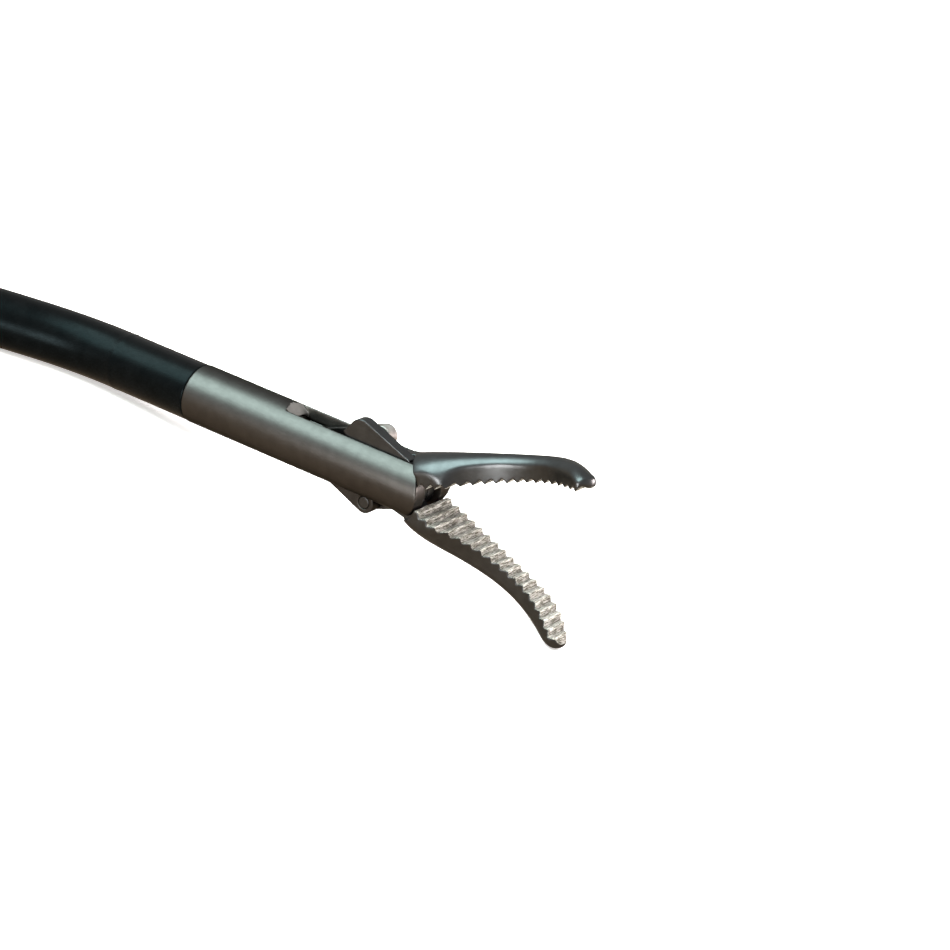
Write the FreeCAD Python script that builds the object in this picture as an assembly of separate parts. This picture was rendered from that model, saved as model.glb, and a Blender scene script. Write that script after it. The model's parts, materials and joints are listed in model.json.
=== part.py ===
import FreeCAD
import Part

import math
import os

from FreeCAD import Placement, Rotation, Vector

# Distal end of a curved endoscopic grasper, millimetres.
# It is modelled in the instrument frame: +X along the clevis towards the jaws, Y along
# the pivot pin, Z the way the jaws open, with the pivot at the origin.
# It is then laid down in its resting attitude, +Z up, with the floor at Z = 0.

# Shaft
shaft_radius = 2.5
sheath_outer_radius = 2.45
tube_outer_radius = 2.15
tube_wall = 0.43
sheath_front = -21.2
bend_start = -29.5
bend_angle = 28.0
bend_centre_radius = 18.0
bend_plane_turn = 14.0
rear_straight = 44.0
sheath_setback = 1.0
bead_centre = -29.15
bead_rise = 0.06
bead_half_width = 0.25

# Clevis
slot_width = 2.2
slot_end = -11.9
slot_ramp = 1.0
nose_radius = 2.5
nose_shift = 0.3
block_bore_radius = 1.65
block_bore_lead = 0.65
block_bore_run = 0.9
cable_bore_radius = 1.05
spigot_length = 7.5
pivot_pin_radius = 0.8
pin_flush_depth = 0.06

# Jaws, measured with the jaws shut
jaw_opening = 20.0
root_radius = 2.3
root_clearance = 0.1
grip_start = 3.33
grip_gap = 0.08
tooth_pitch = 0.893
tooth_depth = 0.4
tooth_lean = 0.34
tooth_count = 18
nose_ball_radius = 1.4
ear_radius = 2.3
tail_outer = 2.4
tail_length = 5.8
tail_flare = 0.55
tail_corner = 1.2
tail_waist = 0.5
tail_inner = 0.25
neck_overlap = 0.6
neck_height = 1.85
knee_back = 3.65
knee_out = 1.58

# Plates, links and drive
layer_gap = 0.06
side_clearance = 0.05
link_end_radius = 0.9
link_length = 7.38
knee_pin_radius = 0.5
drive_pin_radius = 0.5
running_clearance = 0.03
open_pivot_clearance = 0.1
block_length = 6.7
block_nose = 0.9
block_clearance = 0.05
drive_pin_length = 2.9
cable_radius = 0.6
ferrule_radius = 0.95
ferrule_length = 5.0
ferrule_seat = 1.5
bush_length = 5.0
seal_width = 0.4
seal_clearance = 0.05
rear_bush_room = 0.6
lock_pin_radius = 0.6
lock_pin_centre = -24.5
lock_pin_wall = 0.1
cable_tail = 5.0
end_sleeve_radius = 1.0
end_sleeve_length = 4.0

# Resting attitude, in degrees: the part lies on its lower jaw's nose and the bent shaft
lie_roll = 3.172
lie_pitch = -5.705

# Plan of a jaw, seen from above with the jaws shut: distance along the jaw, near edge, far edge
plan_near = [(5.2, -2.3), (6.3, -1.35), (7.3, -0.85), (9.2, -0.2), (11.4, 0.06),
             (13.4, -0.1), (15.3, -0.82), (16.6, -1.6), (17.8, -2.4)]
plan_far = [(18.5, -0.72), (17.85, -0.08), (17.0, 0.6), (15.9, 1.25), (14.4, 1.75),
            (12.4, 1.95), (9.0, 2.12), (5.2, 2.3)]
jaw_tip = 19.15
nose_centre = (18.15, -1.6)
nose_ball_centre = (17.7, -1.38, 0.55)

# Back of a jaw: distance along the jaw, middle of the back, half width, height
back_sections = [(1.6, 0.0, 2.3, 2.3), (5.2, 0.05, 2.3, 2.3), (8.6, 0.8, 1.65, 2.07),
                 (12.4, 1.0, 1.3, 1.9), (15.6, 0.2, 1.45, 1.8), (17.7, -1.1, 1.45, 1.45),
                 (19.4, -1.65, 1.0, 0.55)]

far = 60.0
axis_x = Vector(1, 0, 0)
axis_y = Vector(0, 1, 0)
axis_z = Vector(0, 0, 1)
origin = Vector(0, 0, 0)

tube_inner_radius = tube_outer_radius - tube_wall
block_radius = block_bore_radius - block_clearance
plate_inner = layer_gap / 2
plate_outer = slot_width / 2 - side_clearance
plate_thickness = plate_outer - plate_inner
root_back_radius = nose_shift + nose_radius + root_clearance
spigot_end = sheath_front - spigot_length


def turned_in_opening(point, degrees):
    """Turn a point of the X-Z plane about the pivot, positive towards +Z."""
    turn = math.radians(degrees)
    x = point[0] * math.cos(turn) - point[1] * math.sin(turn)
    z = point[0] * math.sin(turn) + point[1] * math.cos(turn)
    return (x, z)


# The lower jaw's knee is above the axis and the upper jaw's is its mirror image
knee_shut = (-knee_back, knee_out)
knee_open = turned_in_opening(knee_shut, -jaw_opening)
drive_open = knee_open[0] - math.sqrt(link_length ** 2 - knee_open[1] ** 2)
drive_shut = knee_shut[0] - math.sqrt(link_length ** 2 - knee_shut[1] ** 2)
drive_stroke = drive_open - drive_shut
link_tilt_open = math.degrees(math.asin(knee_open[1] / link_length))
link_tilt_shut = math.degrees(math.asin(knee_shut[1] / link_length))
block_rear = drive_open + block_nose - block_length
block_bore_front = drive_open + block_nose + block_bore_lead
block_bore_rear = block_rear - drive_stroke - block_bore_run


def rod(radius, start, end):
    """A cylinder about the X axis from x = start to x = end."""
    return Part.makeCylinder(radius, end - start, Vector(start, 0, 0), axis_x)


def cross_rod(radius, x, z, start, end):
    """A cylinder along Y through the point x, z."""
    return Part.makeCylinder(radius, end - start, Vector(x, start, z), axis_y)


def tube(outer, inner, start, end):
    return rod(outer, start, end).cut(rod(inner, start, end))


def plate(points, start, end):
    """A flat plate with an outline in the X-Z plane, from y = start to y = end."""
    corners = [Vector(x, start, z) for x, z in points]
    face = Part.Face(Part.makePolygon(corners + [corners[0]]))
    return face.extrude(Vector(0, end - start, 0))


def bend_frame():
    """Directions of the bend: back along the shaft, towards the bend's centre, and its axis."""
    turn = math.radians(bend_plane_turn)
    inward = Vector(0, -math.cos(turn), math.sin(turn))
    back = Vector(-1, 0, 0)
    return back, inward, back.cross(inward)


def along_shaft(outer, inner, rear_length, front):
    """A round bar or tube that follows the bent shaft from x = front to its rear end."""
    back, inward, normal = bend_frame()
    start = Vector(bend_start, 0, 0)
    centre = start + inward * bend_centre_radius
    turn = math.radians(bend_angle)
    rear_start = start + back * (bend_centre_radius * math.sin(turn))
    rear_start = rear_start + inward * (bend_centre_radius * (1 - math.cos(turn)))
    rear_way = back * math.cos(turn) + inward * math.sin(turn)

    def bar(radius):
        first = rod(radius, bend_start, front)
        ring = Part.Face(Part.Wire(Part.makeCircle(radius, start, axis_x)))
        middle = ring.revolve(centre, normal, bend_angle)
        last = Part.makeCylinder(radius, rear_length, rear_start, rear_way)
        return first.fuse([middle, last]).removeSplitter()

    if inner is None:
        return bar(outer)
    return bar(outer).cut(bar(inner))


def shaft_end_point(length):
    """A point on the shaft's axis, length beyond the end of the bend, and the way it points."""
    back, inward, normal = bend_frame()
    turn = math.radians(bend_angle)
    way = back * math.cos(turn) + inward * math.sin(turn)
    point = Vector(bend_start, 0, 0) + back * (bend_centre_radius * math.sin(turn))
    point = point + inward * (bend_centre_radius * (1 - math.cos(turn)))
    return point + way * length, way


def make_clevis():
    body = rod(shaft_radius, sheath_front, nose_shift + nose_radius)
    side = plate([(sheath_front, -far), (nose_shift, -far), (nose_shift, far), (sheath_front, far)],
                 -far, far)
    nose = cross_rod(nose_radius, nose_shift, 0, -far, far)
    body = body.common(side.fuse(nose))
    body = body.fuse(rod(tube_inner_radius, spigot_end, sheath_front))
    ramp_end = slot_end + slot_ramp
    slot = plate([(far, -far), (slot_end, -far), (slot_end, -shaft_radius), (ramp_end, -block_bore_radius),
                  (ramp_end, block_bore_radius), (slot_end, shaft_radius), (slot_end, far), (far, far)],
                 -slot_width / 2, slot_width / 2)
    body = body.cut(slot)
    body = body.cut(rod(block_bore_radius, block_bore_rear, block_bore_front))
    body = body.cut(rod(cable_bore_radius, spigot_end, block_bore_rear))
    body = body.cut(lock_pins())
    return body.cut(cross_rod(pivot_pin_radius, 0, 0, -far, far)).removeSplitter()


def smooth_edge(points):
    curve = Part.BSplineCurve()
    curve.interpolate([Vector(x, y, 0) for x, y in points])
    return curve.toShape()


def jaw_plan():
    """Closed outline of the grip, wide at the root and hooked sideways at the nose."""
    near = smooth_edge(plan_near)
    last = Vector(plan_near[-1][0], plan_near[-1][1], 0)
    first = Vector(plan_far[0][0], plan_far[0][1], 0)
    tip = Vector(jaw_tip, nose_centre[1], 0)
    nose_radius_here = jaw_tip - nose_centre[0]
    low = Vector(nose_centre[0], nose_centre[1], 0) + Vector(0.1, -1, 0).normalize() * nose_radius_here
    nose_near = smooth_edge([(last.x, last.y), (low.x, low.y), (tip.x, tip.y), (first.x, first.y)])
    far_side = smooth_edge(plan_far)
    start = Vector(plan_near[0][0], plan_near[0][1], 0)
    end = Vector(plan_far[-1][0], plan_far[-1][1], 0)
    back_far = Vector(0, root_radius, 0)
    back_near = Vector(0, -root_radius, 0)
    root = [Part.LineSegment(end, back_far).toShape(),
            Part.LineSegment(back_far, back_near).toShape(),
            Part.LineSegment(back_near, start).toShape()]
    return Part.Wire([near, nose_near, far_side] + root)


def back_section(x, middle, half_width, height):
    """A half ellipse standing on a flat base just below the grip."""
    half = Part.Arc(Vector(0, 1, 0), Vector(0, 0, 1), Vector(0, -1, 0)).toBSpline()
    poles = [Vector(x, middle + p.y * half_width, p.z * height) for p in half.getPoles()]
    for i, pole in enumerate(poles):
        half.setPole(i + 1, pole)
    low = tooth_depth
    ends = [Vector(x, middle + half_width, 0), Vector(x, middle + half_width, -low),
            Vector(x, middle - half_width, -low), Vector(x, middle - half_width, 0)]
    sides = [Part.LineSegment(ends[3], ends[2]).toShape(),
             Part.LineSegment(ends[2], ends[1]).toShape(),
             Part.LineSegment(ends[1], ends[0]).toShape()]
    return Part.Wire([half.toShape()] + sides)


def grip_cutter(side):
    """Everything beyond the toothed line, whose short steep slopes face the nose of the lower jaw."""
    lift = side * grip_gap / 2
    points = [(-far, -side * far), (-far, lift), (grip_start - (1 - tooth_lean) * tooth_pitch, lift)]
    for i in range(tooth_count):
        crest = grip_start + i * tooth_pitch
        points.append((crest, lift + tooth_depth / 2))
        points.append((crest + tooth_lean * tooth_pitch, lift - tooth_depth / 2))
    points.append((far, lift - tooth_depth / 2))
    points.append((far, -side * far))
    return plate(points, -far, far)


def make_blank():
    """The upper jaw's root block and blade, shut, before the teeth are cut."""
    back = Part.makeLoft([back_section(*row) for row in back_sections], True, False, False, 3)
    outline = Part.Face(jaw_plan())
    outline.translate(Vector(0, 0, -tooth_depth))
    blade = back.common(outline.extrude(Vector(0, 0, root_radius + 2 * tooth_depth)))
    nose_x = nose_ball_centre[0]
    behind = plate([(-far, -far), (nose_x, -far), (nose_x, far), (-far, far)], -far, far)
    ball = Part.makeSphere(nose_ball_radius, Vector(*nose_ball_centre))
    blade = blade.common(behind.fuse(ball))
    return blade.cut(cross_rod(root_back_radius, 0, 0, -far, far))


def make_neck():
    """Plate at y > 0 that joins the upper jaw's root block to its ear."""
    reach = root_back_radius + neck_overlap
    return plate([(0, grip_gap), (reach, grip_gap), (reach, neck_height), (0, ear_radius)],
                 plate_inner, plate_outer)


def make_ear():
    """Flat plate at y > 0 that carries the upper jaw on the pivot and ends in its tail."""
    disc = cross_rod(ear_radius, 0, 0, plate_inner, plate_outer)
    outline = [(0, 0), (-ear_radius, tail_waist), (-knee_back, tail_waist),
               (-tail_length - tail_flare, -tail_inner), (-tail_length, -tail_outer), (0, -tail_outer)]
    tail = plate(outline, plate_inner, plate_outer)
    corner = [e for e in tail.Edges
              if abs(e.CenterOfMass.x + tail_length) < 1e-3 and abs(e.CenterOfMass.z + tail_outer) < 1e-3]
    tail = tail.makeFillet(tail_corner, corner)
    return disc.fuse(tail).removeSplitter()


def make_upper_jaw():
    jaw = make_blank().fuse(make_neck()).cut(grip_cutter(1)).fuse(make_ear())
    jaw = jaw.cut(cross_rod(pivot_pin_radius + running_clearance, 0, 0, -far, far))
    jaw = jaw.cut(cross_rod(knee_pin_radius, -knee_back, -knee_out, -far, far))
    return jaw.removeSplitter()


def make_lower_jaw():
    """The upper jaw's mirror image, with the same sideways hook and its ear on the other side."""
    neck = make_neck().rotate(origin, axis_x, 180)
    body = make_blank().mirror(origin, axis_z).fuse(neck).cut(grip_cutter(-1))
    jaw = body.fuse(make_ear().rotate(origin, axis_x, 180))
    jaw = jaw.cut(cross_rod(pivot_pin_radius + running_clearance, 0, 0, -far, far))
    jaw = jaw.cut(cross_rod(knee_pin_radius, -knee_back, knee_out, -far, far))
    return jaw.removeSplitter()


def make_link():
    """Link from the knee at the origin to the drive pin, straight back along X."""
    start = -plate_outer
    end = -plate_inner
    bar = Part.makeBox(link_length, end - start, 2 * link_end_radius,
                       Vector(-link_length, start, -link_end_radius))
    knee = cross_rod(link_end_radius, 0, 0, start, end)
    tail = cross_rod(link_end_radius, -link_length, 0, start, end)
    link = bar.fuse([knee, tail]).removeSplitter()
    link = link.cut(cross_rod(knee_pin_radius + running_clearance, 0, 0, -far, far))
    return link.cut(cross_rod(drive_pin_radius + open_pivot_clearance, -link_length, 0, -far, far))


def make_drive_block():
    front = drive_open + block_nose
    block = rod(block_radius, block_rear, front)
    fork_floor = drive_open - link_end_radius - 2 * block_clearance
    fork = Part.makeBox(far, slot_width, far, Vector(fork_floor, -slot_width / 2, -far / 2))
    block = block.cut(fork)
    block = block.cut(cross_rod(drive_pin_radius, drive_open, 0, -far, far))
    return block.cut(rod(ferrule_radius, block_rear, block_rear + ferrule_seat))


def make_ferrule():
    start = block_rear + ferrule_seat - ferrule_length
    return tube(ferrule_radius, cable_radius, start, block_rear + ferrule_seat)


def make_seal():
    """Ring in front of the guide bush, just clear of the cable."""
    start = spigot_end + bush_length + seal_clearance
    return tube(cable_bore_radius, cable_radius + seal_clearance, start, start + seal_width)


def make_rear_bush():
    """Bush that closes the shaft tube's rear end, with room for the cable to move sideways."""
    point, way = shaft_end_point(rear_straight - bush_length)
    bush = Part.makeCylinder(tube_inner_radius, bush_length, point, way)
    return bush.cut(Part.makeCylinder(cable_radius + rear_bush_room, bush_length, point, way))


def lock_pins():
    """Two pins that lock the clevis spigot in the shaft tube, near and far, under the sheath."""
    start = cable_bore_radius + lock_pin_wall
    end = tube_outer_radius - pin_flush_depth
    return [cross_rod(lock_pin_radius, lock_pin_centre, 0, -end, -start),
            cross_rod(lock_pin_radius, lock_pin_centre, 0, start, end)]


def make_shaft_tube():
    shaft = along_shaft(tube_outer_radius, tube_inner_radius, rear_straight, sheath_front)
    return shaft.cut(cross_rod(lock_pin_radius, lock_pin_centre, 0, -far, far))


def make_sheath():
    sheath = along_shaft(sheath_outer_radius, tube_outer_radius, rear_straight - sheath_setback,
                         sheath_front)
    crest = sheath_outer_radius + bead_rise
    front = Part.makeCone(crest, sheath_outer_radius, bead_half_width, Vector(bead_centre, 0, 0), axis_x)
    rear = Part.makeCone(crest, sheath_outer_radius, bead_half_width, Vector(bead_centre, 0, 0),
                         Vector(-1, 0, 0))
    hollow = rod(tube_outer_radius, bead_centre - bead_half_width, bead_centre + bead_half_width)
    return sheath.fuse(front.fuse(rear).cut(hollow)).removeSplitter()


def make_end_sleeve():
    point, way = shaft_end_point(rear_straight + cable_tail - end_sleeve_length)
    sleeve = Part.makeCylinder(end_sleeve_radius, end_sleeve_length, point, way)
    return sleeve.cut(Part.makeCylinder(cable_radius, end_sleeve_length, point, way))


def opened(shape, degrees):
    """Turn a shut jaw about the pivot pin, positive towards +Z."""
    return shape.rotate(origin, axis_y, -degrees)


def linked(shape, side):
    """Put a link at its open place: side 1 hangs from the upper knee, -1 from the lower one."""
    placed = shape.copy()
    if side > 0:
        placed.rotate(origin, axis_x, 180)
    placed.rotate(origin, axis_y, -side * link_tilt_open)
    placed.translate(Vector(knee_open[0], 0, side * knee_open[1]))
    return placed


def make_parts():
    drive_half = drive_pin_length / 2
    pin_half = shaft_radius - pin_flush_depth
    pivot = cross_rod(pivot_pin_radius, 0, 0, -pin_half, pin_half)
    knee_pin = cross_rod(knee_pin_radius, knee_open[0], 0, -plate_outer, plate_outer)
    link = make_link()
    near_pin, far_pin = lock_pins()
    parts = {
        "clevis": make_clevis(),
        "shaft_tube": make_shaft_tube(),
        "near_lock_pin": near_pin,
        "far_lock_pin": far_pin,
        "insulating_sheath": make_sheath(),
        "pivot_pin": pivot,
        "cable_guide_bush": tube(cable_bore_radius, cable_radius + running_clearance,
                                 spigot_end, spigot_end + bush_length),
        "cable_seal_ring": make_seal(),
        "cable_rear_bush": make_rear_bush(),
        "upper_jaw": opened(make_upper_jaw(), jaw_opening),
        "lower_jaw": opened(make_lower_jaw(), -jaw_opening),
        "upper_jaw_link": linked(link, -1),
        "lower_jaw_link": linked(link, 1),
        "upper_jaw_knee_pin": knee_pin.copy().translate(Vector(0, 0, -knee_open[1])),
        "lower_jaw_knee_pin": knee_pin.copy().translate(Vector(0, 0, knee_open[1])),
        "drive_block": make_drive_block(),
        "drive_pin": cross_rod(drive_pin_radius, drive_open, 0, -drive_half, drive_half),
        "cable_ferrule": make_ferrule(),
        "drive_cable": along_shaft(cable_radius, None, rear_straight + cable_tail,
                                   block_rear + ferrule_seat),
        "cable_end_sleeve": make_end_sleeve(),
    }
    return parts


def lying(parts):
    """Roll and pitch the whole part, set it on the floor and centre it over the origin."""
    attitude = Rotation(axis_y, lie_pitch).multiply(Rotation(axis_x, lie_roll))
    turned = Placement(origin, attitude)
    boxes = []
    for shape in parts.values():
        shape.Placement = turned.multiply(shape.Placement)
        boxes.append(shape.optimalBoundingBox())
    low_x = min(b.XMin for b in boxes)
    high_x = max(b.XMax for b in boxes)
    low_y = min(b.YMin for b in boxes)
    high_y = max(b.YMax for b in boxes)
    low_z = min(b.ZMin for b in boxes)
    shift = Vector(-(low_x + high_x) / 2, -(low_y + high_y) / 2, -low_z)
    for shape in parts.values():
        shape.translate(shift)
    return attitude, shift


parts = make_parts()
attitude, shift = lying(parts)
os.makedirs("parts", exist_ok=True)
for name, shape in parts.items():
    shape.exportStep("parts/" + name + ".step")
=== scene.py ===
import json
import math

import bpy
import numpy as np
from mathutils import Matrix, Vector


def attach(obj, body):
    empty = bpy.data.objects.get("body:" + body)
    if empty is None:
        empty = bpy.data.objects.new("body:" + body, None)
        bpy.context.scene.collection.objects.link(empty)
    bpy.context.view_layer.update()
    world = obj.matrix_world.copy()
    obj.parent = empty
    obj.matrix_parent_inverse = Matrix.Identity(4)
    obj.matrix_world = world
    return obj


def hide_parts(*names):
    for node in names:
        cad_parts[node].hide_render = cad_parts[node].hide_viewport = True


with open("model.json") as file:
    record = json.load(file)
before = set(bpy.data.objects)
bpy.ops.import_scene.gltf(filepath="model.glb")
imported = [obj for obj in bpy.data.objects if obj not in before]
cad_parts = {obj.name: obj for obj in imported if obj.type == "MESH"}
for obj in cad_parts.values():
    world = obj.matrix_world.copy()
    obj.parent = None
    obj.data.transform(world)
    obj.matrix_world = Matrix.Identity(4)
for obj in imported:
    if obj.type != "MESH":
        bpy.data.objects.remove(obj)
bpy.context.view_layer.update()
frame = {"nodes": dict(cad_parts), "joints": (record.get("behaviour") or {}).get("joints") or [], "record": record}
MM = 0.001

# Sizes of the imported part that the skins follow, in millimetres and degrees from the pivot
jaw_opening = 20.0
grip_start = 3.33
ridged_end = 17.0
shaft_radius = 2.5
pivot_pin_radius = 0.8
slot_half = 1.1
slot_end = -11.9
bead_centre = -29.15

# The instrument's own axes, read from its joints: X along the clevis, Y along the pivot pin
joints = {j["name"]: j for j in frame["joints"]}
pivot = Vector(joints["upper_jaw_hinge"]["pos_m"])
axis_y = Vector(joints["upper_jaw_hinge"]["axis"]).normalized()
axis_x = Vector(joints["drive_slide"]["axis"]).normalized()
axis_z = axis_x.cross(axis_y)
turn = Matrix((axis_x, axis_y, axis_z)).transposed()
to_row = Matrix.Translation(pivot) @ turn.to_4x4()


def tool_point(x, y, z):
    """A point given in millimetres in the instrument's axes, as a point of the row frame."""
    return to_row @ (Vector((x, y, z)) * MM)


def tool_way(x, y, z):
    return (turn @ Vector((x, y, z))).normalized()


class Nodes:
    """One material, and short ways to add nodes to it."""

    def __init__(self, name):
        self.material = bpy.data.materials.new(name)
        self.material.use_nodes = True
        self.tree = self.material.node_tree
        self.shader = self.tree.nodes["Principled BSDF"]

    def add(self, kind, **values):
        node = self.tree.nodes.new(kind)
        for key, value in values.items():
            if key in node.inputs:
                node.inputs[key].default_value = value
            else:
                setattr(node, key, value)
        return node

    def link(self, source, target):
        self.tree.links.new(source, target)

    def set(self, **values):
        for key, value in values.items():
            self.shader.inputs[key.replace("_", " ")].default_value = value

    def noise(self, scale, detail=3.0, stretch=(1, 1, 1), roughness=0.5):
        """Noise with that many spots to a millimetre, times its stretch along the tool's axes."""
        place = self.add("ShaderNodeTexCoord")
        mapping = self.add("ShaderNodeMapping", vector_type="POINT")
        inverse = to_row.inverted()
        mapping.inputs["Location"].default_value = inverse.translation
        mapping.inputs["Rotation"].default_value = inverse.to_euler()
        self.link(place.outputs["Object"], mapping.inputs["Vector"])
        size = self.add("ShaderNodeVectorMath", operation="MULTIPLY")
        size.inputs[1].default_value = tuple(scale / MM * k for k in stretch)
        self.link(mapping.outputs["Vector"], size.inputs[0])
        noise = self.add("ShaderNodeTexNoise", Scale=1.0, Detail=detail, Roughness=roughness)
        self.link(size.outputs[0], noise.inputs["Vector"])
        return noise.outputs["Fac"]

    def ramp(self, source, stops):
        ramp = self.add("ShaderNodeValToRGB")
        bar = ramp.color_ramp
        while len(bar.elements) < len(stops):
            bar.elements.new(0.5)
        for element, (at, colour) in zip(bar.elements, stops):
            element.position = at
            element.color = colour if len(colour) == 4 else (*colour, 1)
        self.link(source, ramp.inputs["Fac"])
        return ramp.outputs["Color"]

    def bump(self, source, strength, depth_mm, normal=None):
        bump = self.add("ShaderNodeBump", Strength=strength, Distance=depth_mm * MM)
        self.link(source, bump.inputs["Height"])
        if normal is not None:
            self.link(normal, bump.inputs["Normal"])
        return bump.outputs["Normal"]

    def wear(self, colour, normal, roughness=None):
        self.link(colour, self.shader.inputs["Base Color"])
        self.link(normal, self.shader.inputs["Normal"])
        if roughness is not None:
            self.link(roughness, self.shader.inputs["Roughness"])


def grey(value, warm=0.0):
    return (value * (1 + warm), value, value * (1 - warm))


def steel(name, light, dark, rough, grain=0.25, warm=0.03, stretch=(0.25, 1, 1), bump=0.05, edge=0.35):
    """Satin steel with blotches from dark to light, a fine grain, and rims dimmed to that edge."""
    m = Nodes(name)
    m.set(Metallic=1.0, Roughness=rough, Specular_Tint=(edge, edge, edge * 0.97, 1))
    blotches = m.ramp(m.noise(1.1, detail=4.0), [(0.3, grey(dark, warm)), (0.7, grey(light, warm))])
    satin = m.ramp(m.noise(9.0, stretch=stretch), [(0.3, grey(rough - 0.03)), (0.7, grey(rough + 0.04))])
    fine = m.bump(m.noise(22.0, detail=2.0, stretch=stretch), grain, depth_mm=0.01)
    waves = m.bump(m.noise(4.0), bump, depth_mm=0.02, normal=fine)
    m.wear(blotches, waves, satin)
    return m.material


def sheath_black():
    """Black heat-shrunk plastic with a faint blue-green shine."""
    m = Nodes("sheath_black")
    m.set(IOR=1.4, Roughness=0.32, Specular_IOR_Level=0.09, Specular_Tint=(0.62, 0.9, 1.0, 1))
    colour = m.ramp(m.noise(0.8, detail=4.0),
                    [(0.3, (0.0007, 0.0008, 0.0009)), (0.75, (0.0018, 0.0019, 0.002))])
    shine = m.ramp(m.noise(3.5, detail=4.0), [(0.3, grey(0.28)), (0.7, grey(0.38))])
    soft = m.bump(m.noise(1.2, detail=2.0), 0.15, depth_mm=0.02)
    m.wear(colour, m.bump(m.noise(10.0), 0.1, depth_mm=0.004, normal=soft), shine)
    return m.material


def plastic(name, low, high, rough):
    m = Nodes(name)
    m.set(Roughness=rough)
    colour = m.ramp(m.noise(2.0), [(0.3, low), (0.7, high)])
    m.wear(colour, m.bump(m.noise(10.0), 0.2, depth_mm=0.01))
    return m.material


def grip_face():
    """Bright eroded metal: a fine hatch along the ridges and pits, with painted shade that darkens the ridges from
    their crests down into their valleys.
    """
    m = Nodes("grip_eroded")
    m.set(Metallic=0.75, Roughness=0.45)
    lines = m.noise(5.0, stretch=(2.7, 0.25, 2.7), roughness=0.65)
    pits = m.noise(5.5, detail=4.0, roughness=0.75)
    lines_to_pits = 3.0
    both = m.add("ShaderNodeMath", operation="MULTIPLY_ADD")
    both.inputs[1].default_value = lines_to_pits
    m.link(lines, both.inputs[0])
    m.link(pits, both.inputs[2])
    mean = m.add("ShaderNodeMath", operation="DIVIDE")
    mean.inputs[1].default_value = lines_to_pits + 1
    m.link(both.outputs[0], mean.inputs[0])
    metal = m.ramp(mean.outputs[0],
                   [(0.41, (0.11, 0.108, 0.09)), (0.5, (0.36, 0.355, 0.315)), (0.6, (0.92, 0.92, 0.87))])
    height = m.add("ShaderNodeAttribute", attribute_name="crest")
    # Painted shade: the crest height darkens the grip towards the valleys of its ridges and leaves the crests
    # bright
    valley_shade = m.ramp(height.outputs["Fac"], [(0.05, grey(0.55)), (0.6, grey(0.8)), (0.9, grey(1.0))])
    shaded = m.add("ShaderNodeVectorMath", operation="MULTIPLY")
    m.link(metal, shaded.inputs[0])
    m.link(valley_shade, shaded.inputs[1])
    rough = m.bump(pits, 0.6, depth_mm=0.05)
    m.wear(shaded.outputs[0], m.bump(lines, 1.0, depth_mm=0.14, normal=rough))
    return m.material


clevis_metal = steel("clevis_satin", 0.088, 0.074, 0.39, grain=0.08, bump=0.02)
jaw_metal = steel("jaw_satin", 0.088, 0.07, 0.33, grain=0.12, warm=-0.05, edge=0.65)
link_metal = steel("link_machined", 0.6, 0.3, 0.5, grain=0.6, stretch=(1, 0.2, 1), bump=0.3, edge=0.8)
dark_link = steel("link_satin", 0.07, 0.05, 0.4)
# The slot's walls are lightened, partly their milled finish and partly painted light against the shade inside the
# slot
slot_lightened = steel("slot_milled_lightened", 0.16, 0.1, 0.5, warm=0.08, stretch=(1, 1, 0.2))
# The ramps' bright metal is partly their milled finish and partly a painted highlight of light from above
ramp_highlight = steel("ramp_milled_highlight", 0.42, 0.3, 0.42, grain=0.4, warm=0.03, edge=0.8)
tube_metal = steel("tube_satin", 0.3, 0.22, 0.3, stretch=(0.1, 1, 1))
pin_metal = steel("pin_turned", 0.11, 0.08, 0.28)
cable_metal = steel("cable_drawn", 0.4, 0.25, 0.3, stretch=(0.1, 1, 1))
black = sheath_black()
white_plastic = plastic("bush_plastic", (0.72, 0.71, 0.68), (0.82, 0.81, 0.78), 0.45)
seal_rubber = plastic("seal_rubber", (0.02, 0.02, 0.02), (0.04, 0.04, 0.04), 0.7)
grip_metal = grip_face()

# The material of each CAD node, also of those that a skin takes the place of further down
finishes = {
    "clevis": clevis_metal,
    "pivot_pin": clevis_metal,
    "shaft_tube": tube_metal,
    "insulating_sheath": black,
    "upper_jaw": jaw_metal,
    "lower_jaw": jaw_metal,
    "upper_jaw_link": dark_link,
    "lower_jaw_link": dark_link,
    "drive_cable": cable_metal,
    "cable_rear_bush": white_plastic,
    "cable_guide_bush": white_plastic,
    "cable_seal_ring": seal_rubber}
for name, node in frame["nodes"].items():
    finish = finishes.get(name, pin_metal)
    if node.material_slots:
        for material_slot in node.material_slots:
            material_slot.material = finish
    else:
        node.data.materials.append(finish)

body_of = {n: body for body, members in frame["record"]["behaviour"]["bodies"].items() for n in members}
tool_from_row = np.array(to_row.inverted())
row_from_tool = np.array(to_row)


def placed(matrix, points):
    return points @ matrix[:3, :3].T + matrix[:3, 3]


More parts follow.
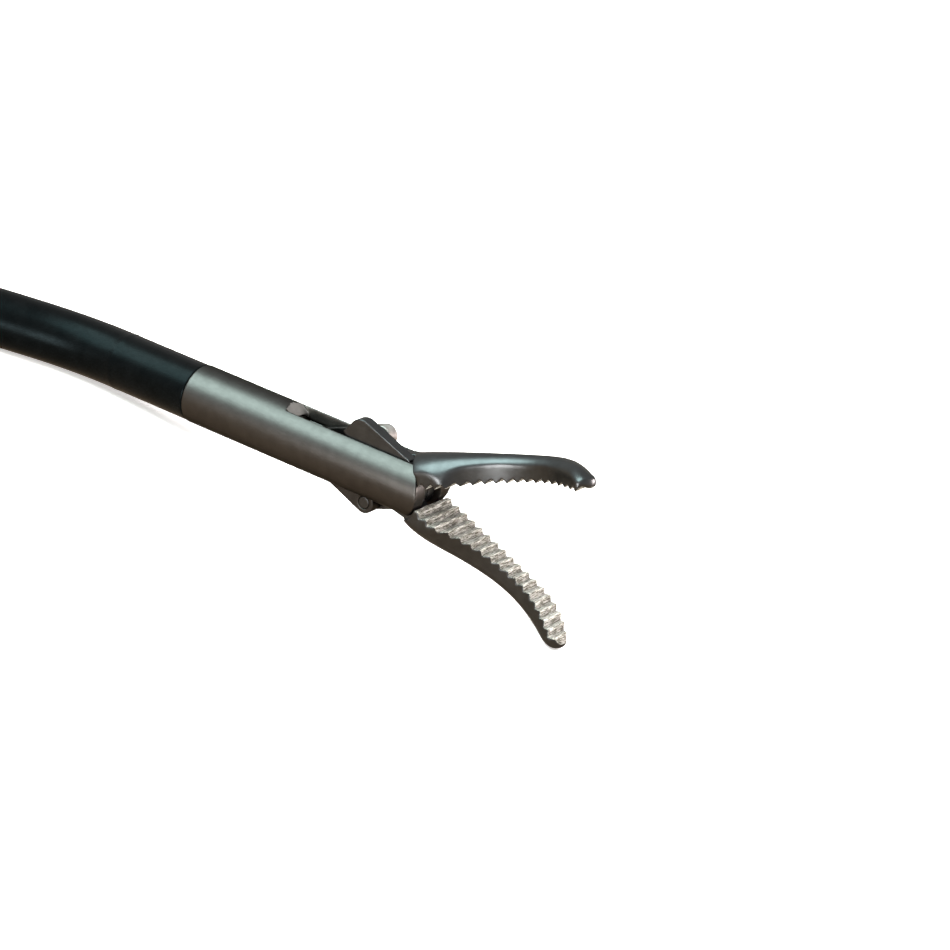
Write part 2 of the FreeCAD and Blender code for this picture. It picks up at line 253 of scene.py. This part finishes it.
def node_soup(name, steps=3, roundness=0.75):
    """The CAD node's triangles in tool millimetres, each cut finer and rounded out by its normals."""
    mesh = frame["nodes"][name].data
    mesh.calc_loop_triangles()
    count = len(mesh.loop_triangles)
    corners = np.empty(count * 3, np.int32)
    loops = np.empty(count * 3, np.int32)
    mesh.loop_triangles.foreach_get("vertices", corners)
    mesh.loop_triangles.foreach_get("loops", loops)
    places = np.empty(len(mesh.vertices) * 3)
    mesh.vertices.foreach_get("co", places)
    normals = np.empty(len(mesh.loops) * 3)
    mesh.corner_normals.foreach_get("vector", normals)
    p = placed(tool_from_row, places.reshape(-1, 3))[corners].reshape(-1, 3, 3) / MM
    n = (normals.reshape(-1, 3)[loops] @ tool_from_row[:3, :3].T).reshape(-1, 3, 3)
    grid = [(i, j) for i in range(steps + 1) for j in range(steps + 1 - i)]
    index = {ij: k for k, ij in enumerate(grid)}
    points = []
    for i, j in grid:
        w = np.array([steps - i - j, i, j]) / steps
        flat = np.einsum("k,nkc->nc", w, p)
        lift = np.einsum("nkc,nkc->nk", flat[:, None, :] - p, n)
        bent = np.einsum("k,nkc->nc", w, flat[:, None, :] - lift[:, :, None] * n)
        points.append(flat * (1 - roundness) + bent * roundness)
    small = []
    for i, j in grid:
        if i + j < steps:
            small.append((index[i, j], index[i + 1, j], index[i, j + 1]))
        if i + j < steps - 1:
            small.append((index[i + 1, j], index[i + 1, j + 1], index[i, j + 1]))
    points = np.stack(points, 1)
    faces = np.array(small)[None] + (np.arange(count) * len(grid))[:, None, None]
    return points.reshape(-1, 3), faces.reshape(-1, 3)


def mesh_from(name, points, faces):
    mesh = bpy.data.meshes.new(name)
    mesh.from_pydata(points.tolist(), [], faces.tolist())
    mesh.update()
    return mesh


def with_modifier(mesh, kind, **values):
    """The mesh after one modifier."""
    holder = bpy.data.objects.new("holder", mesh)
    bpy.context.scene.collection.objects.link(holder)
    modifier = holder.modifiers.new("m", kind)
    for key, value in values.items():
        setattr(modifier, key, value)
    graph = bpy.context.evaluated_depsgraph_get()
    result = bpy.data.meshes.new_from_object(holder.evaluated_get(graph))
    bpy.data.objects.remove(holder)
    bpy.data.meshes.remove(mesh)
    return result


def coordinates(mesh):
    points = np.empty(len(mesh.vertices) * 3)
    mesh.vertices.foreach_get("co", points)
    return points.reshape(-1, 3)


def relaxed(points, edges, rounds, share):
    """Each round moves every point part of the way, its share, to the mean of its neighbours."""
    ends = np.concatenate([edges, edges[:, ::-1]])
    degree = np.maximum(np.bincount(ends[:, 0], minlength=len(points)), 1)
    for _ in range(rounds):
        for axis in range(3):
            mean = np.bincount(ends[:, 0], points[ends[:, 1], axis], len(points)) / degree
            points[:, axis] += share * (mean - points[:, axis])
    return points


def refined(soups, voxel, rounds, limit, softness=None):
    """Closed shells in tool millimetres joined to one fine skin, with its edges broken.

    The softness is a number of further rounds and a function that says how much of them the points
    at those places take. The limit is the number of triangles that are left.
    """
    points = np.concatenate([soup[0] for soup in soups])
    starts = np.cumsum([0] + [len(soup[0]) for soup in soups[:-1]])
    faces = np.concatenate([soup[1] + start for soup, start in zip(soups, starts)])
    mesh = with_modifier(mesh_from("skin", points, faces), "REMESH", mode="VOXEL", voxel_size=voxel)
    edges = np.empty(len(mesh.edges) * 2, np.int32)
    mesh.edges.foreach_get("vertices", edges)
    edges = edges.reshape(-1, 2)
    share = 0.5
    moved = relaxed(coordinates(mesh), edges, rounds, share)
    if softness is not None:
        more_rounds, amount = softness
        moved = relaxed(moved, edges, more_rounds, share * amount(moved))
    mesh.vertices.foreach_set("co", moved.ravel())
    mesh.update()
    triangles = 2 * len(mesh.polygons)
    if triangles > limit:
        mesh = with_modifier(mesh, "DECIMATE", ratio=limit / triangles)
    return mesh


def stand_in(mesh, name, node_name, material, *others):
    """Puts a mesh made in tool millimetres in the place of a CAD node, and of others on its body."""
    moved = placed(row_from_tool, coordinates(mesh) * MM)
    mesh.vertices.foreach_set("co", moved.ravel())
    mesh.update()
    mesh.materials.clear()
    mesh.materials.append(material)
    mesh.shade_smooth()
    piece = bpy.data.objects.new(name, mesh)
    bpy.context.scene.collection.objects.link(piece)
    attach(piece, body_of[node_name])
    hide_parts(node_name, *others)
    return piece


def shut_frame(vectors, side):
    """The shares along the jaw and away from its grip, with the jaw turned shut."""
    angle = math.radians(side * jaw_opening)
    cos, sin = math.cos(angle), math.sin(angle)
    along = vectors[:, 0] * cos + vectors[:, 2] * sin
    away = side * (-vectors[:, 0] * sin + vectors[:, 2] * cos)
    return along, away


def face_data(mesh):
    centres = np.empty(len(mesh.polygons) * 3)
    normals = np.empty(len(mesh.polygons) * 3)
    mesh.polygons.foreach_get("center", centres)
    mesh.polygons.foreach_get("normal", normals)
    return centres.reshape(-1, 3), normals.reshape(-1, 3)


def more_materials(piece, *pairs):
    """Gives the held faces of the piece to more materials."""
    index = np.zeros(len(piece.data.polygons), np.int32)
    for number, (material, held) in enumerate(pairs, 1):
        piece.data.materials.append(material)
        index[held] = number
    piece.data.polygons.foreach_set("material_index", index)


def ease(low, high, values):
    t = np.clip((values - low) / (high - low), 0, 1)
    return t * t * (3 - 2 * t)


def jaw_piece(node_name, side):
    """The jaw with its knee pin ground flush. Its blade is well rounded, away from the teeth."""
    # Where the rounding sets in and where it is full, along the jaw and away from its grip
    blade = (2.7, 3.4)
    nose = (18.3, 18.7)
    beside_teeth = (0.3, 0.55)

    def amount(points):
        along, away = shut_frame(points, side)
        return np.maximum(ease(*blade, along) * ease(*beside_teeth, away), ease(*nose, along))

    grip_depth = 0.5
    grip_margin = 0.4
    least_facing = 0.45
    pin_name = node_name + "_knee_pin"
    soups = [node_soup(node_name), node_soup(pin_name)]
    mesh = refined(soups, voxel=0.055, rounds=3, limit=190000, softness=(50, amount))
    centres, normals = face_data(mesh)
    along, away = shut_frame(centres, side)
    facing = -shut_frame(normals, side)[1]
    gripping = (along > grip_start - grip_margin) & (away < grip_depth) & (facing > least_facing)
    # The crest attribute runs from 0 in the valleys of the ridges to 1 at their tops; the grip material paints
    # shade into the valleys by it
    top, valley = np.percentile(away[gripping & (along < ridged_end)], (2, 98))
    height = (valley - shut_frame(coordinates(mesh), side)[1]) / (valley - top)
    crest = mesh.attributes.new("crest", "FLOAT", "POINT")
    crest.data.foreach_set("value", np.clip(height, 0, 1).astype(np.float32))
    piece = stand_in(mesh, node_name + "_forged", node_name, jaw_metal, pin_name)
    more_materials(piece, (grip_metal, gripping))


def flush_pin(radius, outer):
    """Pin along the pivot axis whose ends follow the turned outside of the clevis."""
    around, rings = 64, 12
    angles = np.arange(around) * 2 * math.pi / around
    points = []
    for end in (-1, 1):
        for k in range(rings + 1):
            x = radius * k / rings * np.cos(angles)
            z = radius * k / rings * np.sin(angles)
            points.append(np.stack([x, end * np.sqrt(outer ** 2 - z ** 2), z], 1))
    faces = []
    rows = list(range(rings + 1)) + list(range(2 * rings + 1, rings, -1))
    for a, b in zip(rows[:-1], rows[1:]):
        for i in range(around):
            j = (i + 1) % around
            faces.append((a * around + i, b * around + i, b * around + j))
            faces.append((a * around + i, b * around + j, a * around + j))
    return np.concatenate(points), np.array(faces)


def clevis_piece():
    """The clevis with its pivot pin ground flush. Its slot is set in lighter metal: the walls partly a milled
    finish and partly painted light against the shade in the slot, the ramps at its rear end partly a milled finish
    and partly a painted highlight.
    """
    margin = 0.02
    pin = flush_pin(pivot_pin_radius + margin, shaft_radius)
    mesh = refined([node_soup("clevis"), pin], voxel=0.075, rounds=6, limit=160000)

    # The turned surface is made exactly round, a little inside the box of the solids
    inset = 0.003
    points = coordinates(mesh)
    radius = np.hypot(points[:, 1], points[:, 2])
    turned = np.abs(radius - shaft_radius) < margin
    points[turned, 1:] *= ((shaft_radius - inset) / radius[turned])[:, None]
    mesh.vertices.foreach_set("co", points.ravel())
    mesh.update()

    # The slot's walls face across it, and the ramps at its rear end face forwards
    end_margin = 0.1
    ramp_length = 1.1
    centres, normals = face_data(mesh)
    along, across = centres[:, 0], np.abs(centres[:, 1])
    slot = along > slot_end - end_margin
    walls = slot & (across < slot_half + margin) & (np.abs(normals[:, 1]) > 0.7)
    # The forward-facing ramps take a painted highlight
    ramps = slot & (across < slot_half) & (along < slot_end + ramp_length) & (normals[:, 0] > 0.5)
    piece = stand_in(mesh, "clevis_turned", "clevis", clevis_metal, "pivot_pin")
    # The walls get metal lightened with painted light against the slot's shade, the ramps metal with a painted
    # highlight, both over a milled finish
    more_materials(piece, (slot_lightened, walls), (ramp_highlight, ramps))


def sheath_piece():
    """The sheath, with its bead melted down to a faint ring."""
    beside_bead = (0.5, 1.1)

    def amount(points):
        return 1 - ease(*beside_bead, np.abs(points[:, 0] - bead_centre))

    soups = [node_soup("insulating_sheath")]
    mesh = refined(soups, voxel=0.1, rounds=4, limit=185000, softness=(10, amount))
    stand_in(mesh, "insulating_sheath_shrunk", "insulating_sheath", black)


def link_piece(node_name, rough_length):
    """The link's bar. Its end at the knee is left rough and bright over that length."""
    mesh = refined([node_soup(node_name)], voxel=0.04, rounds=5, limit=60000)
    along = face_data(mesh)[0][:, 0]
    piece = stand_in(mesh, node_name + "_bar", node_name, dark_link)
    more_materials(piece, (link_metal, along > along.max() - rough_length))


jaw_piece("upper_jaw", 1)
jaw_piece("lower_jaw", -1)
clevis_piece()
sheath_piece()
link_piece("upper_jaw_link", rough_length=0)
link_piece("lower_jaw_link", rough_length=2.2)
block = refined([node_soup("drive_block")], voxel=0.06, rounds=4, limit=60000)
stand_in(block, "drive_block_turned", "drive_block", pin_metal)

# Camera, floor and light. The camera stands where the fitted one of the photograph does.
frame_px = 950
pivot_px = (405, 480.7)
px_per_mm = 12.6
camera_away = 265.0
sensor_mm = 36.0
tau, eps, alpha = math.radians(29), math.radians(26), math.radians(22.8)
focal_px = px_per_mm * camera_away
c = Vector((math.sin(tau), -math.cos(tau) * math.cos(eps), math.cos(tau) * math.sin(eps)))
r = Vector((math.cos(tau), math.sin(tau) * math.cos(eps), -math.sin(tau) * math.sin(eps)))
u = Vector((0, math.sin(eps), math.cos(eps)))
right = math.cos(alpha) * r + math.sin(alpha) * u
down = math.sin(alpha) * r - math.cos(alpha) * u
off_x, off_y = ((at - frame_px / 2) / px_per_mm for at in pivot_px)
spot = -(off_x * right + off_y * down - camera_away * c)

camera_data = bpy.data.cameras.new("camera")
camera = bpy.data.objects.new("camera", camera_data)
bpy.context.scene.collection.objects.link(camera)
camera_data.sensor_width = sensor_mm
camera_data.lens = focal_px / frame_px * sensor_mm
camera_data.clip_start = 0.01
camera_data.clip_end = 10.0
pose = Matrix((tool_way(*right), tool_way(*(-down)), tool_way(*c))).transposed().to_4x4()
camera.matrix_world = Matrix.Translation(tool_point(*spot)) @ pose
bpy.context.scene.camera = camera


def floor_material():
    m = Nodes("floor_paper")
    m.set(Roughness=0.9, Specular_IOR_Level=0.1)
    m.set(Emission_Color=(1.0, 0.98, 0.96, 1), Emission_Strength=0.55)
    colour = m.ramp(m.noise(0.05), [(0.3, (0.9, 0.88, 0.87)), (0.7, (0.94, 0.92, 0.91))])
    m.wear(colour, m.bump(m.noise(2.0), 0.05, depth_mm=0.02))
    return m.material


floor_mesh = bpy.data.meshes.new("floor")
floor_half = 3
corners = [(x * floor_half, y * floor_half, 0) for x, y in ((-1, -1), (1, -1), (1, 1), (-1, 1))]
floor_mesh.from_pydata(corners, [], [(0, 1, 2, 3)])
floor = bpy.data.objects.new("floor", floor_mesh)
bpy.context.scene.collection.objects.link(floor)
floor_mesh.materials.append(floor_material())
floor.visible_glossy = False


def softbox(name, way, distance, size, power, colour, target=(-5, 0, 0)):
    """An area light that faces a point of the tool, from that direction and distance in metres."""
    data = bpy.data.lights.new(name, "AREA")
    data.shape = "RECTANGLE"
    data.size, data.size_y = size
    data.energy = power
    data.color = colour
    light = bpy.data.objects.new(name, data)
    light.location = tool_point(*target) + way * distance
    light.rotation_euler = way.to_track_quat("Z", "Y").to_euler()
    bpy.context.scene.collection.objects.link(light)
    return light


# The key gives the long highlight, the side light the soft one on the blade's wall, the tip light
# the hot spot on the upper nose. The fill only whitens the floor and isn't mirrored in the metal.
softbox("key", tool_way(-0.485, -0.356, 0.799), distance=0.5, size=(0.38, 0.38), power=3.9,
        colour=(0.76, 1.0, 0.96))
side = softbox("side", tool_way(-0.11, -0.993, 0.03), distance=0.12, size=(0.05, 0.045), power=0.12,
               colour=(1.0, 0.98, 0.95))
tip = softbox("tip", tool_way(0.65, 0.75, 0.05), distance=0.03, size=(0.012, 0.012), power=0.014,
              colour=(1.0, 0.86, 0.82), target=(17.9, -1.2, 6.5))
for light in (side, tip):
    light.visible_diffuse = False
    light.visible_camera = False
fill = softbox("fill", Vector((0, 0, 1)), distance=1.0, size=(2.2, 2.2), power=62.0,
               colour=(1.0, 0.99, 0.98))
fill.visible_glossy = False

# Warm room light from below, pale from the horizon up
world = bpy.data.worlds.new("studio")
bpy.context.scene.world = world
world.use_nodes = True
sky = world.node_tree
direction = sky.nodes.new("ShaderNodeTexCoord")
split = sky.nodes.new("ShaderNodeSeparateXYZ")
shade = sky.nodes.new("ShaderNodeValToRGB")
scaled = sky.nodes.new("ShaderNodeMapRange")
scaled.inputs["From Min"].default_value = -1.0
sky.links.new(direction.outputs["Generated"], split.inputs["Vector"])
sky.links.new(split.outputs["Z"], scaled.inputs["Value"])
sky.links.new(scaled.outputs["Result"], shade.inputs["Fac"])
below, above = shade.color_ramp.elements
below.position, below.color = 0.44, (0.62, 0.47, 0.33, 1)
above.position, above.color = 0.52, (0.64, 0.62, 0.6, 1)
sky.links.new(shade.outputs["Color"], sky.nodes["Background"].inputs["Color"])
sky.nodes["Background"].inputs["Strength"].default_value = 1.0
bpy.context.scene.view_settings.view_transform = "Standard"
